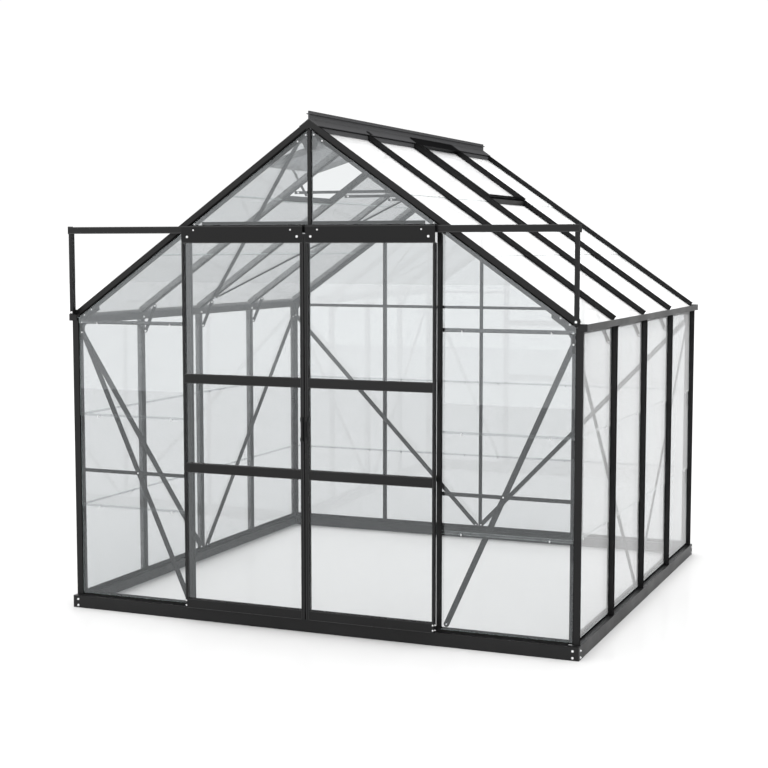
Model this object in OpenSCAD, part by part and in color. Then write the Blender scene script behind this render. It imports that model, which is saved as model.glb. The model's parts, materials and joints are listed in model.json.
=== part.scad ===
// Glass greenhouse: aluminium glazing bars on a steel plinth, double sliding doors in the front gable.
// Origin: centre of the bounding box, on the ground. +X right, -Y front (door side), +Z up. Millimetres.

/* [Plinth] */
// Outer width of the plinth
base_w = 2570; // [2500:10:2640]
// Outer length of the plinth
base_l = 2470; // [2450:5:2500]
// Height of the plinth
base_h = 60; // [50:5:80]
// Width of the plinth's box section
base_t = 30; // [28:1:40]
// Wall of the plinth's folded steel
base_wall = 3; // [2:0.5:4]

/* [Frame] */
// Length between the outer faces of the two gables
frame_l = 2414; // [2390:2:2430]
// Distance between the glazing bars along a side
bay = 608; // [595:1:615]
// Height of the gutter's underside
eaves_z = 1417; // [1350:1:1500]
// Height of the roof bars' outer edge at the ridge line
apex_z = 2346; // [2330:1:2400]
// Slope of the roof
pitch = 35; // [35:0.1:35.5]
// Distance from the middle to the gable's door jambs
jamb_x = 630; // [625:1:640]
// Height of the underside of the bar over the door
header_z = 1870; // [1860:1:1880]

/* [Glass] */
// Thickness of the glass
glass_t = 3; // [3:0.5:4]

/* [Doors] */
// Lowest edge of the door leaves
leaf_z = 66; // [66:1:75]
// Top of the door leaves' head plates
leaf_top = 1869; // [1860:1:1869]
// Outer edge of a leaf, from the middle
leaf_x = 631; // [628:1:636]
// Height of a leaf's cross rails
rail_h = 44; // [36:1:50]

/* [Hidden] */

frame_black = [0.09, 0.09, 0.10];
steel_black = [0.12, 0.12, 0.13];
strap_grey = [0.25, 0.25, 0.26];
clear_glass = [0.80, 0.86, 0.86, 0.35];
nylon_grey = [0.70, 0.70, 0.70];
$fn = 32;

// Planes along Y, seen from the middle of the plinth
yf = -frame_l / 2;                 // outer face of the gable bars
leaf_back = -base_l / 2 - 5;       // back of the door leaves
leaf_d = 26;                       // depth of a leaf's stiles and rails
leaf_front = leaf_back - leaf_d;
handle_d = 10;                     // how far a door handle stands proud
front = leaf_front - handle_d;
yc = -(front + base_l / 2) / 2;    // shift that centres the bounding box

// Planes along X
nose_x = 1280;                     // outer edge of the wall bars' caps
pane_x = 1255;                     // outer face of the wall glass
inner_x = 1251;                    // outer face of the inner flanges
gutter_x = 1296;                   // outer edge of the gutters
sill_x = 1215;                     // inner edge of the side sills
plate_x = 1247;                    // inner face of the eaves beams and corner posts
nose_w = 24;                       // width of a bar's cap and of its flange
web_w = 5;                         // width of the web between two panes
seam = 1;                          // play between glass and metal
gap = 0.2;                         // gap that keeps neighbouring solids apart

// Levels in the wall
ledge_z = base_h + 10;             // sill ledge that carries the glass
upstand_z = base_h + 20;           // top of the sill's upstand behind the glass
pane_z = ledge_z + 0.5;            // lower edge of the wall glass
gutter_z = eaves_z + 30;           // top of the gutters
beam_z = eaves_z - 18;             // lower edge of the eaves beams

// Depths below the roof bars' outer edge, square to the slope
nose_d = 24;                       // height of a cap over the glass
pane_d = nose_d + seam;            // outer face of the roof glass
flange_d = pane_d + glass_t + seam; // outer face of the inner flange
flange_t = 3;                      // thickness of flanges and stems
face_d = flange_d + flange_t;      // inner face of the flanges, lower edge of the gable rafters' black face

// Depths behind the gable's outer face
face_t = 10;                       // thickness of the gable bars' face
cap_t = 5.5;                       // thickness of a gable bar's cap
gable_pane = 6;                    // outer face of the gable glass
post_d = 40;                       // depth of posts and stems
plate_y = 14.5;                    // outer face of the gusset plates
brace_y = 18;                      // outer face of the front diagonals

// Lengths along the slope
ridge_wing = 57;                   // lower edge of the ridge's upper wing
nose_end = 1548;                   // square-cut lower end of the bars' caps
vent_len = 548;                    // lower edge of the roof vents
cill_up = 6;                       // how far a vent's cill reaches up under the vent
cill_down = 9;                     // how far it reaches out below the vent
drip_x = 1266;                     // lower edge of the roof glass

function bar_y(i) = (i - 2) * bay;                       // i = 1 to 3
function slope_x(s, d) = s * cos(pitch) - d * sin(pitch); // X of a point s down the slope, d below
function slope_s(x, d) = (x + d * sin(pitch)) / cos(pitch);
function roof_z(x, d) = apex_z - x * tan(pitch) - d / cos(pitch);
function roof_x(z, d) = (apex_z - d / cos(pitch) - z) / tan(pitch);

// ---- Placing ----
module sited() translate([0, yc, 0]) children();
module mirrored(axis) { children(); mirror(axis) children(); }
module sides() mirrored([1, 0, 0]) children();
module ends() mirrored([0, 1, 0]) children();
module side(s) mirror([s < 0 ? 1 : 0, 0, 0]) children();
module slope(s) side(s) translate([0, 0, apex_z]) rotate([0, pitch, 0]) children();
module box(x0, x1, y0, y1, z0, z1) translate([x0, y0, z0]) cube([x1 - x0, y1 - y0, z1 - z0]);
// A drawing in X and Z, thick along Y from y0 to y1
module upright(y0, y1) translate([0, y1, 0]) rotate([90, 0, 0]) linear_extrude(y1 - y0) children();
// A drawing in Y and Z, long along X from x0 to x1
module along_x(x0, x1) translate([x0, 0, 0]) rotate([90, 0, 90]) linear_extrude(x1 - x0) children();
// A drawing in X and Z, long along Y from y0 to y1
module along_y(y0, y1) upright(y0, y1) children();

// A strip of a roof bar in slope coordinates, both ends cut upright at xa and xb
module strip(y0, y1, d0, d1, xa, xb)
    upright(y0, y1) polygon([[slope_s(xa, d0), -d0], [slope_s(xb, d0), -d0],
                             [slope_s(xb, d1), -d1], [slope_s(xa, d1), -d1]]);
// The same with its lower end cut square to the slope
module square_strip(y0, y1, d0, d1, xa, s_end)
    upright(y0, y1) polygon([[slope_s(xa, d0), -d0], [s_end, -d0], [s_end, -d1], [slope_s(xa, d1), -d1]]);
// A flat strap in the drawing plane, from a to b, with rounded ends
module strap(a, b, w) {
    run = b - a;
    translate(a) rotate(atan2(run[1], run[0])) union() {
        translate([0, -w / 2]) square([norm(run), w]);
        circle(d = w);
        translate([norm(run), 0]) circle(d = w);
    }
}

// ---- Plinth ----
// One side of the plinth: a box section with mitred ends, drawn along X with its outer face at -depth
module base_rail(len, depth) {
    h = len / 2;
    t = base_t;
    w = base_wall;
    difference() {
        linear_extrude(base_h) polygon([[-h, -depth], [h, -depth], [h - t, t - depth], [t - h, t - depth]]);
        translate([0, 0, w]) linear_extrude(base_h - 2 * w)
            polygon([[-h, w - depth], [h, w - depth], [h - t + w, t - w - depth], [t - w - h, t - w - depth]]);
    }
}
module base_front() color(steel_black) sited() base_rail(base_w, base_l / 2);
module base_back() color(steel_black) sited() mirror([0, 1, 0]) base_rail(base_w, base_l / 2);
module base_left() color(steel_black) sited() rotate(-90) base_rail(base_l, base_w / 2);
module base_right() color(steel_black) sited() rotate(90) base_rail(base_l, base_w / 2);

// ---- Sills ----
module gable_sill() along_x(-1229, 1229)
    polygon([[yf, base_h], [yf + post_d, base_h], [yf + post_d, base_h + 3], [yf + 13, base_h + 3],
             [yf + 13, upstand_z], [yf + face_t, upstand_z], [yf + face_t, ledge_z], [yf, ledge_z]]);
module sill_front() color(frame_black) sited() gable_sill();
module sill_back() color(frame_black) sited() mirror([0, 1, 0]) gable_sill();
module side_sills() color(frame_black) sited() sides() along_y(yf + post_d + 1, -yf - post_d - 1)
    polygon([[sill_x, base_h], [pane_x, base_h], [pane_x, ledge_z], [inner_x, ledge_z],
             [inner_x, upstand_z], [inner_x - 3, upstand_z], [inner_x - 3, base_h + 3], [sill_x, base_h + 3]]);

// ---- Walls ----
module corner_post() {
    // cap at the corner, then the flanges behind the gable glass and the side glass
    box(1248, nose_x, yf, yf + 12, base_h, eaves_z);
    box(plate_x, inner_x, yf + face_t, yf + post_d, base_h, eaves_z + 13);
    box(1230, 1249, yf + face_t, yf + 13, base_h, eaves_z + 13);
}
module corner_posts() color(frame_black) sited() sides() ends() corner_post();

// A glazing bar of the side walls: cap outside the glass, web between the panes, flange inside
module side_bar(y) translate([0, y, 0]) {
    box(pane_x + seam, nose_x, -nose_w / 2, nose_w / 2, base_h, eaves_z);
    box(inner_x - 1, pane_x + 2, -web_w / 2, web_w / 2, upstand_z, beam_z - seam);
    box(inner_x - flange_t, inner_x, -nose_w / 2, nose_w / 2, upstand_z, beam_z - seam);
}
module side_bars(s) color(frame_black) sited() side(s) for (i = [1:3]) side_bar(bar_y(i));
module side_bars_left() side_bars(-1);
module side_bars_right() side_bars(1);

module eaves_beams() color(frame_black) sited() sides()
    box(plate_x, inner_x, yf + post_d + 1, -yf - post_d - 1, beam_z, eaves_z + 17);

module gutter(s) color(frame_black) sited() side(s) difference() {
    t = 3;
    box(inner_x + 1, gutter_x, yf, -yf, eaves_z, gutter_z);
    box(inner_x + 1 + t, gutter_x - t, yf + t, -yf - t, eaves_z + t, gutter_z + 1);
    // the inner wall stays below the roof glass
    box(inner_x, inner_x + 2 + t, yf + t, -yf - t, eaves_z + 12, gutter_z + 1);
    // the ends are open to the gable rafters over the inner wall
    ends() box(inner_x, 1275, yf - 1, yf + 12 + seam, eaves_z + 12, gutter_z + 1);
}
module gutter_left() gutter(-1);
module gutter_right() gutter(1);

// ---- Gables ----
// A gable glazing bar: cap outside the glass, flange and stem inside it
module gable_bar(x, cap_foot, foot, cap_top, flange_top, stem_top, w) translate([x, 0, 0]) {
    box(-w / 2, w / 2, yf, yf + cap_t, cap_foot, cap_top);
    box(-2, 2, yf + cap_t - 1, yf + face_t + 1, foot, flange_top);
    box(-w / 2 - 2, w / 2 + 2, yf + face_t, yf + 13, foot, flange_top);
    box(-flange_t / 2, flange_t / 2, yf + 12, yf + 38, foot, stem_top);
}
cap_w = 20;
jamb_cap_z = roof_z(jamb_x + cap_w / 2, face_d) - 1;
jamb_flange_z = roof_z(jamb_x + cap_w / 2 + 2, face_d + 20) - 1;
king_cap_z = roof_z(8, face_d) - 1;
king_flange_z = roof_z(10, face_d + 20) - 1;
king_stem_z = 2205;
header_h = 20;                         // height of the bar over the door
header_lip = 4;                        // height of its lip outside, which the top glass stands on

module door_jambs() color(frame_black) sited() sides()
    gable_bar(jamb_x, ledge_z, upstand_z, jamb_cap_z, jamb_flange_z, jamb_flange_z, cap_w);
module gable_king_post() color(frame_black) sited()
    gable_bar(0, header_z + header_lip + gap, header_z + header_h + gap,
              king_cap_z, king_flange_z, king_stem_z, 16);
// The bar over the door: a lip under the glass, an upright leaf behind it and a shelf inside
module door_header() color(frame_black) sited() union() {
    low = roof_x(header_z, face_d) - 1;
    high = roof_x(header_z + header_lip, face_d) - 1;
    back = roof_x(header_z + header_h, face_d + 20) - 2;
    upright(yf, yf + face_t) polygon([[-low, header_z], [low, header_z],
                                      [high, header_z + header_lip], [-high, header_z + header_lip]]);
    box(-back, back, yf + face_t - 1, yf + 13, header_z, header_z + header_h);
    box(-back, back, yf + 12, yf + post_d, header_z, header_z + header_lip);
}
module back_posts() color(frame_black) sited() mirror([0, 1, 0]) {
    for (x = [-jamb_x, jamb_x]) gable_bar(x, ledge_z, upstand_z, jamb_cap_z, jamb_flange_z, jamb_flange_z, cap_w);
    gable_bar(0, ledge_z, upstand_z, king_cap_z, king_flange_z, king_stem_z, 16);
}

rail_in = jamb_x + cap_w / 2 + 3;      // ends of the glazing rails
module glazing_rail(x0, x1, z) box(x0, x1, yf + face_t, yf + 14, z, z + 17);
module front_glazing_rails() color(strap_grey) sited() sides() {
    glazing_rail(rail_in, 1229, eaves_z - 15);
    glazing_rail(rail_in, 1229, 674.5);
}
module back_glazing_rails() color(strap_grey) sited() mirror([0, 1, 0]) sides() {
    glazing_rail(rail_in, 1229, eaves_z - 15);
    glazing_rail(11, jamb_x - cap_w / 2 - 3, eaves_z - 15);
}

// ---- Roof ----
module gable_rafter(s) slope(s) {
    // the cap and the black face under it, then the ledge under the glass and the flange behind the gable glass
    upright(yf, yf + 12) polygon([[slope_s(gap, 0), 0], [nose_end, 0], [nose_end, -nose_d],
                                  [slope_s(1250, nose_d), -nose_d], [slope_s(1250, face_d), -face_d],
                                  [slope_s(gap, face_d), -face_d]]);
    strip(yf + 11, yf + 32, flange_d, face_d - 0.5, 1, plate_x);
    strip(yf + face_t, yf + 14, flange_d + 1, face_d + 20, 2, 1229);
}
module gable_rafters() color(frame_black) for (s = [-1, 1]) gable_rafter(s);
module gable_rafters_front() sited() gable_rafters();
module gable_rafters_back() sited() mirror([0, 1, 0]) gable_rafters();

module roof_bar(y) translate([0, y, 0]) {
    square_strip(-nose_w / 2, nose_w / 2, 0, nose_d, 3, nose_end);
    strip(-web_w / 2, web_w / 2, nose_d - 1, flange_d + 1, 3, plate_x - 1);
    strip(-nose_w / 2, nose_w / 2, flange_d, face_d, 3, plate_x - 1);
}
module roof_bars(s) color(frame_black) sited() slope(s) for (i = [1:3]) roof_bar(bar_y(i));
module roof_bars_left() roof_bars(-1);
module roof_bars_right() roof_bars(1);

ridge_top = 2384;
module ridge_section() {
    t = 3;
    x1 = slope_x(ridge_wing, 0);
    x2 = slope_x(ridge_wing, -t);
    for (m = [0, 1]) mirror([m, 0]) polygon([
        [0, apex_z], [x1, roof_z(x1, 0)], [x2, roof_z(x2, -t)], [3, roof_z(3, -t)],
        [3, ridge_top - 15], [11, ridge_top - 15], [11, ridge_top - 11], [3, ridge_top - 11],
        [3, ridge_top], [0, ridge_top]]);
}
module ridge_beam() color(frame_black) sited() union() {
    along_y(yf, -yf) ridge_section();
    box(-3, 3, yf + 33, -yf - 33, 2270, apex_z + 1);
}
// Flashing bar that holds the top edge of the roof glass, one for each bay without a vent
module flashing(y0, y1) strip(y0, y1, 8, nose_d, 22, 39);
module ridge_flashings() color(frame_black) sited() {
    slope(-1) for (i = [0, 2, 3]) flashing(bay_from(i), bay_to(i));
    slope(1) for (i = [0, 1, 3]) flashing(bay_from(i), bay_to(i));
}
// Clear width between two caps, bays numbered 0 to 3 from the front
function bay_from(i) = i == 0 ? yf + 13 : bar_y(i) + nose_w / 2 + seam;
function bay_to(i) = i == 3 ? -yf - 13 : bar_y(i + 1) - nose_w / 2 - seam;
// Clear width between two webs, for the glass
function pane_from(i) = i == 0 ? yf + 13 : bar_y(i) + web_w / 2 + seam;
function pane_to(i) = i == 3 ? -yf - 13 : bar_y(i + 1) - web_w / 2 - seam;

tie_z = 2043;
tie_h = 14;
module collar_ties() color(strap_grey) sited() for (i = [1:3]) {
    half = roof_x(tie_z + tie_h / 2, face_d) - 1;
    box(-half, half, bar_y(i) + 2, bar_y(i) + 5, tie_z - tie_h / 2, tie_z + tie_h / 2);
}
module knee_straps() color(strap_grey) sited() sides() for (i = [1:3])
    upright(bar_y(i) + 2, bar_y(i) + 5) strap([1238, 1336], [1180, 1468], 18);

module eaves_gusset() upright(yf + plate_y, yf + plate_y + 3) polygon([
    [1140, roof_z(1140, face_d + 1)], [1246, roof_z(1246, face_d + 1)], [1246, 1338], [1222, 1338],
    [1222, 1385], [1192, 1432], [1134, 1472]]);
module apex_gusset() upright(yf + plate_y, yf + plate_y + 3) polygon([
    [0, roof_z(0, face_d + 1)], [88, roof_z(88, face_d + 1)], [78, 2226], [40, 2244], [26, 2210],
    [-26, 2210], [-40, 2244], [-78, 2226], [-88, roof_z(88, face_d + 1)]]);
module gusset_plates() color(strap_grey) sited() ends() {
    sides() eaves_gusset();
    apex_gusset();
}

// ---- Bracing ----
wall_brace_w = 34;
gable_brace_w = 26;
roof_brace_w = 28;
brace_t = 3;
module wall_braces() color(strap_grey) sited() sides() along_x(plate_x - brace_t - 0.5, plate_x - 0.5)
    mirrored([1, 0, 0]) strap([-1160, 1337], [-34, 84], wall_brace_w);
module gable_braces() color(strap_grey) sited() {
    sides() upright(yf + brace_y, yf + brace_y + brace_t) strap([1232, 1354], [662, 92], gable_brace_w);
    mirror([0, 1, 0]) sides() upright(yf + post_d + 1, yf + post_d + 1 + brace_t)
        strap([1226, 1346], [16, 92], gable_brace_w);
}
module roof_braces() color(strap_grey) sited() for (s = [-1, 1]) slope(s)
    translate([0, 0, -face_d - seam - brace_t]) linear_extrude(brace_t)
        mirrored([0, 1, 0]) strap([1430, 20], [96, 1172], roof_brace_w);

// ---- Glass ----
glass_up = face_d + 1;                 // the gable glass stops this far below the rafters' outer edge
module gable_pane(x0, x1, z0) upright(yf + gable_pane, yf + gable_pane + glass_t)
    polygon([[x0, z0], [x1, z0], [x1, roof_z(x1, glass_up)], [x0, roof_z(x0, glass_up)]]);
module top_pane(z0) upright(yf + gable_pane, yf + gable_pane + glass_t)
    polygon([[3, z0], [roof_x(z0, glass_up), z0], [3, roof_z(3, glass_up)]]);
module glass_front() color(clear_glass) sited() sides() {
    gable_pane(jamb_x + 3, 1229 + 17, pane_z);
    top_pane(header_z + header_lip + 0.5);
}
module glass_back() color(clear_glass) sited() mirror([0, 1, 0]) sides() {
    gable_pane(jamb_x + 3, 1229 + 17, pane_z);
    gable_pane(3, jamb_x - 3, pane_z);
}
module wall_glass(s) color(clear_glass) sited() side(s) for (i = [0:3])
    box(pane_x - glass_t, pane_x, pane_from(i), pane_to(i), pane_z, eaves_z - 0.5);
module glass_left() wall_glass(-1);
module glass_right() wall_glass(1);
// The roof glass; a bay with a vent has glass below the vent's cill only
module roof_glass(s, vent_bay) color(clear_glass) sited() slope(s) for (i = [0:3])
    strip(pane_from(i), pane_to(i), pane_d, pane_d + glass_t,
          i == vent_bay ? slope_x(vent_len + 12, pane_d) : 4, drip_x);
module roof_glass_left() roof_glass(-1, 1);
module roof_glass_right() roof_glass(1, 2);

// ---- Roof vents ----
hinge_x = 8;                           // hinge line under the ridge's hook
open_deg = 18.4;                       // how far the left vent stands open
vent_s = 66;                           // upper edge of the vent frame
vent_up = 1;                           // play between the vent frame and the roof bars' caps
vent_top = 9;                          // top of the vent frame
leg_t = 3;                             // thickness of the frame's legs beside the caps
leg_d = 20;                            // how far the legs reach down between the caps
leg_low = vent_len - cill_up - 3;      // lower edge of the frame's lowest leg
// Outer edge of the vent over bay i, and the outer and inner faces of its leg
function vent_edge(i) = bar_y(i) - 10;
function leg_from(i) = bar_y(i) + nose_w / 2 + seam;
function leg_to(i) = leg_from(i) + leg_t;
// One side of the vent's frame at bar i: a top over the cap and a leg beside it
module vent_side(i) {
    box(vent_s, vent_len, vent_edge(i), leg_to(i), vent_up, vent_top);
    box(vent_s, leg_low, leg_from(i), leg_to(i), -leg_d, vent_up + 1);
}
// A vent in slope coordinates, over bay i
module vent_frame(i) {
    middle = bar_y(i + 0.5);
    y0 = leg_to(i) + gap;
    y1 = 2 * middle - y0;
    vent_side(i);
    translate([0, 2 * middle, 0]) mirror([0, 1, 0]) vent_side(i);
    box(vent_s, vent_s + 20, y0, y1, vent_up, vent_top);
    box(vent_s, vent_s + leg_t, y0, y1, -leg_d, vent_up + 1);
    box(leg_low - leg_t, vent_len, y0, y1, vent_up, vent_top);
    box(leg_low - leg_t, leg_low, y0, y1, -leg_d, vent_up + 1);
    // hinge plate over the ridge's wing
    box(12, vent_s - gap, vent_edge(i), 2 * middle - vent_edge(i), 4, vent_top - 1);
}
module vent_glass(i) {
    y0 = leg_to(i) + gap;
    box(vent_s + leg_t + gap, leg_low - leg_t - gap, y0, 2 * bar_y(i + 0.5) - y0, -leg_d, glass_t - leg_d);
}
// Turn a vent up about its hinge line
module opened() slope(-1) translate([slope_s(hinge_x, 0), 0, 0]) rotate([0, -open_deg, 0])
    translate([-slope_s(hinge_x, 0), 0, 0]) children();
module vent_left_frame() color(frame_black) sited() opened() vent_frame(1);
module vent_left_glass() color(clear_glass) sited() opened() vent_glass(1);
module vent_right_frame() color(frame_black) sited() slope(1) vent_frame(2);
module vent_right_glass() color(clear_glass) sited() slope(1) vent_glass(2);
module vent_left_stay() color(strap_grey) sited() slope(-1)
    upright(bar_y(1.5) - 2, bar_y(1.5) + 2) strap([vent_len - 7, 6], [vent_len - 22, 163], 12);
module vent_cill(i)
    strip(bay_from(i), bay_to(i), 4, nose_d, slope_x(vent_len - cill_up, 4), slope_x(vent_len + cill_down, 4));
module vent_cills() color(frame_black) sited() {
    slope(-1) vent_cill(1);
    slope(1) vent_cill(2);
}

// ---- Sliding door track ----
track_x = 1267;
track_z = 1837;
track_y = yf - 39;                     // front face of the track
slot_y = track_y + 16;                 // middle of the slot in its underside
module door_rail() color(frame_black) sited() along_x(-track_x, track_x) difference() {
    translate([track_y, track_z]) square([yf - track_y, 32]);
    translate([track_y + 2.5, track_z + 3]) square([yf - track_y - 5, 26.5]);
    translate([slot_y - 4, track_z - 1]) square([8, 5]);
}
module rail_struts() color(frame_black) sited() sides() union() {
    box(1250, track_x, track_y, track_y + 24, 1446, track_z);
    box(1250, track_x, track_y + 23, yf, 1446, 1470);
}

// ---- Door leaves ----
meet = 2.5;                            // half the play between the closed leaves
inner_w = 17.5;                        // width of the meeting stile
outer_w = 10;                          // width of the outer stile
head_z = leaf_top - 78;                // underside of the head plate
rail_zs = [leaf_z, 716, 1137];         // undersides of a leaf's cross rails
in_x = meet + inner_w;
out_x = leaf_x - outer_w;
hanger_xs = [67, 567];

module leaf_stiles() {
    box(meet, in_x, leaf_front, leaf_back, leaf_z, head_z);
    box(meet, 6.5, leaf_front, leaf_front + 14, head_z - 1, leaf_top - 36);
    box(out_x, leaf_x, leaf_front, leaf_back, leaf_z, head_z);
}
module leaf_rails() for (z = rail_zs) along_x(in_x, out_x) difference() {
    translate([leaf_front, z]) square([leaf_d, rail_h]);
    translate([leaf_front + 2, z + 2]) square([leaf_d - 4, rail_h - 4]);
}
module leaf_head() along_x(7, leaf_x) difference() {
    translate([leaf_front, head_z]) square([14, leaf_top - head_z]);
    translate([leaf_front + 3, head_z + 3]) square([12, leaf_top - head_z - 6]);
}
module leaf_glass() for (i = [0:2]) {
    top = i == 2 ? head_z : rail_zs[i + 1];
    box(in_x + gap, out_x - gap, leaf_front + 10, leaf_front + 10 + glass_t,
        rail_zs[i] + rail_h + gap, top - gap);
}
// Two wheels on one axle run inside the track; a plate drops through its slot to the head plate
module leaf_hangers() for (x = hanger_xs) translate([x, 0, 0]) union() {
    wheel_r = 9;
    axle_z = track_z + 3 + wheel_r + 0.3;
    for (y = [slot_y - 9, slot_y + 3]) translate([0, y + 6, axle_z]) rotate([90, 0, 0]) cylinder(r = wheel_r, h = 6);
    translate([0, slot_y + 9, axle_z]) rotate([90, 0, 0]) cylinder(r = 3, h = 18);
    box(-12, 12, slot_y - 2, slot_y + 2, track_z - 12, axle_z + 4);
    box(-12, 12, leaf_front + 14, slot_y, track_z - 12, track_z - 7);
}
module leaf_handle() box(5, 18, front, leaf_front, 893, 1003);

module door_left_stiles() color(frame_black) sited() side(-1) leaf_stiles();
module door_left_rails() color(frame_black) sited() side(-1) leaf_rails();
module door_left_head() color(frame_black) sited() side(-1) leaf_head();
module door_left_glass() color(clear_glass) sited() side(-1) leaf_glass();
module door_left_hangers() color(nylon_grey) sited() side(-1) leaf_hangers();
module door_left_handle() color(frame_black) sited() side(-1) leaf_handle();
module door_right_stiles() color(frame_black) sited() leaf_stiles();
module door_right_rails() color(frame_black) sited() leaf_rails();
module door_right_head() color(frame_black) sited() leaf_head();
module door_right_glass() color(clear_glass) sited() leaf_glass();
module door_right_hangers() color(nylon_grey) sited() leaf_hangers();
module door_right_handle() color(frame_black) sited() leaf_handle();

base_front();
base_back();
base_left();
base_right();
sill_front();
sill_back();
side_sills();
corner_posts();
side_bars_left();
side_bars_right();
eaves_beams();
gutter_left();
gutter_right();
door_jambs();
door_header();
gable_king_post();
front_glazing_rails();
back_posts();
back_glazing_rails();
gable_rafters_front();
gable_rafters_back();
roof_bars_left();
roof_bars_right();
ridge_beam();
ridge_flashings();
collar_ties();
knee_straps();
gusset_plates();
wall_braces();
gable_braces();
roof_braces();
glass_front();
glass_back();
glass_left();
glass_right();
roof_glass_left();
roof_glass_right();
vent_left_frame();
vent_left_glass();
vent_left_stay();
vent_right_frame();
vent_right_glass();
vent_cills();
door_rail();
rail_struts();
door_left_stiles();
door_left_rails();
door_left_head();
door_left_glass();
door_left_hangers();
door_left_handle();
door_right_stiles();
door_right_rails();
door_right_head();
door_right_glass();
door_right_hangers();
door_right_handle();
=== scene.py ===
"""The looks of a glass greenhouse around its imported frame: lapped panes, clips, bolts, seals and finishes.

Everything is in metres in the frame of the part: +X right, -Y towards the viewer facing the doors, +Z up.
"""

import json
import math

import bmesh
import bpy
from mathutils import Matrix, Vector


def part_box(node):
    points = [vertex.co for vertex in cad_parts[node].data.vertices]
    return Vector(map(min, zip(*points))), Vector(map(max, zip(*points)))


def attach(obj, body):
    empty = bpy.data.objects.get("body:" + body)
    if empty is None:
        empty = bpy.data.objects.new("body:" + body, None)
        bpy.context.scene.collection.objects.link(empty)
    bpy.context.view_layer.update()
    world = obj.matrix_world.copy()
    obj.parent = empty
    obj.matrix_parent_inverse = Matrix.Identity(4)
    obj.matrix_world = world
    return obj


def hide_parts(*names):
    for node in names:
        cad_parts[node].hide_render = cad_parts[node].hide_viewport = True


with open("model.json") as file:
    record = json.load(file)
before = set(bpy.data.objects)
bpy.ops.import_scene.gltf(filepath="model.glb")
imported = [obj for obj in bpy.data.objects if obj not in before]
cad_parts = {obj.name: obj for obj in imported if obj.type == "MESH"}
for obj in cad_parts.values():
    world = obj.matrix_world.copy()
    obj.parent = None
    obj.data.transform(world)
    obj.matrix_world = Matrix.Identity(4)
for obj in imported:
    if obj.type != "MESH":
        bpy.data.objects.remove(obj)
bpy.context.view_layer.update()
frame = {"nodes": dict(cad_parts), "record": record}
nodes = frame["nodes"]

HOUSE = "greenhouse"
DOORS = {"door_left": -1, "door_right": 1}

# Sizes that the frame gives
POST_LOW, POST_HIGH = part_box("corner_posts")
BAR_LOW, BAR_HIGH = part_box("side_bars_right")
GUTTER_LOW, GUTTER_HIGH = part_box("gutter_right")
PLINTH_LOW, PLINTH_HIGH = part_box("base_front")
JAMB_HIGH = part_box("door_jambs")[1]
HEADER_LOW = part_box("door_header")[0]
RAIL_LOW, RAIL_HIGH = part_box("door_rail")
STRUT_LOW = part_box("rail_struts")[0]
HEAD_LOW, HEAD_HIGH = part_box("door_right_head")
STILE_LOW, STILE_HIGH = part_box("door_right_stiles")
WALL_GLASS_LOW, WALL_GLASS_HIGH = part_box("glass_right")
ROOF_GLASS_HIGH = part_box("roof_glass_right")[1]
TIE_LOW, TIE_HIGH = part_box("collar_ties")
BEAM_X = POST_HIGH.x - 0.033         # inner face of the eaves beams

CAP_W = 0.024                       # width of a glazing bar's cap
WEB_HALF = 0.0035                   # from a bar's middle to the edge of its panes
GLASS_T = 0.003
LAP = 0.012                         # how far one pane laps over the next
FRONT = POST_LOW.y                  # outer faces of the two gables
BACK = POST_HIGH.y
MIDDLE = (FRONT + BACK) / 2
BAY = (BAR_HIGH.y - BAR_LOW.y - CAP_W) / 2
BAR_YS = [MIDDLE - BAY, MIDDLE, MIDDLE + BAY]
EAVES_Z = GUTTER_LOW.z
GABLE_PANE_Y = 0.006                # from a gable's outer face to its glass
HEADER_LIP = 0.004                  # height of the lip that the glass over the doors stands on
JAMB_X = JAMB_HIGH.x - 0.012
PITCH = math.radians(35)
ROOF_RISE = 0.82                    # how far up a roof pane's face points, near the cosine of its slope
APEX_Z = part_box("gable_rafters_front")[1].z
PANE_DEPTH = 0.025                  # from the caps' outer edge to the roof glass

LAP_ZS = [0.511, 0.958]             # laps in the walls
LAP_SS = [0.549, 1.026]             # laps in the roof, down the slope
ROOF_PANE_TOP = 0.005
VENT_PANE_TOP = 0.560               # upper edge of the glass below a vent, down the slope
VENT_BAYS = {-1: 1, 1: 2}           # the bay with a vent on the left and right slope
PANE_X = 1.246                      # outer edge of the gable panes
PANE_PLAY = 0.003                   # from a gable post's middle to its panes
GABLE_TOP = 0.033                   # the gable panes end this far under the roof's outer edge
LEAN = 0.0017                       # how far a lapped pane leans out at its foot
CLIP_INSET = 0.105                  # from a pane's edge to its clips
RAIL_ZS = (0.716, 1.137)            # lower edges of the door leaves' two middle rails
RAIL_H = 0.044
BETWEEN_STILES = (0.0205, 0.6205)   # a door's cross rails, from the middle outwards
BEAD_XS = (0.0055, 0.0165, 0.6235)  # inner edges of the beads down a door's stiles
BRUSH_XS = (0.623, 0.004)           # inner edges of its draught brushes
CAP_END = 1.548                     # lower end of the roof bars' caps, down the slope
SEAL_TOP, SEAL_END = 0.068, 1.535   # upper and lower end of the roof seals, down the slope


# ---------------------------------------------------------------- places

class Plane:
    """A wall or slope: a point is given by its place along, its place up or down, and how far out it is."""

    def __init__(self, origin, along, rise, out):
        self.origin, self.along, self.rise, self.out = (Vector(v) for v in (origin, along, rise, out))

    def at(self, u, v, n=0.0):
        return self.origin + self.along * u + self.rise * v + self.out * n


def wall_plane(side):
    """A side wall seen from outside: along Y, up Z, with 0 out at the glass."""
    return Plane((side * WALL_GLASS_HIGH.x, 0, 0), (0, 1, 0), (0, 0, 1), (side, 0, 0))


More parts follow.
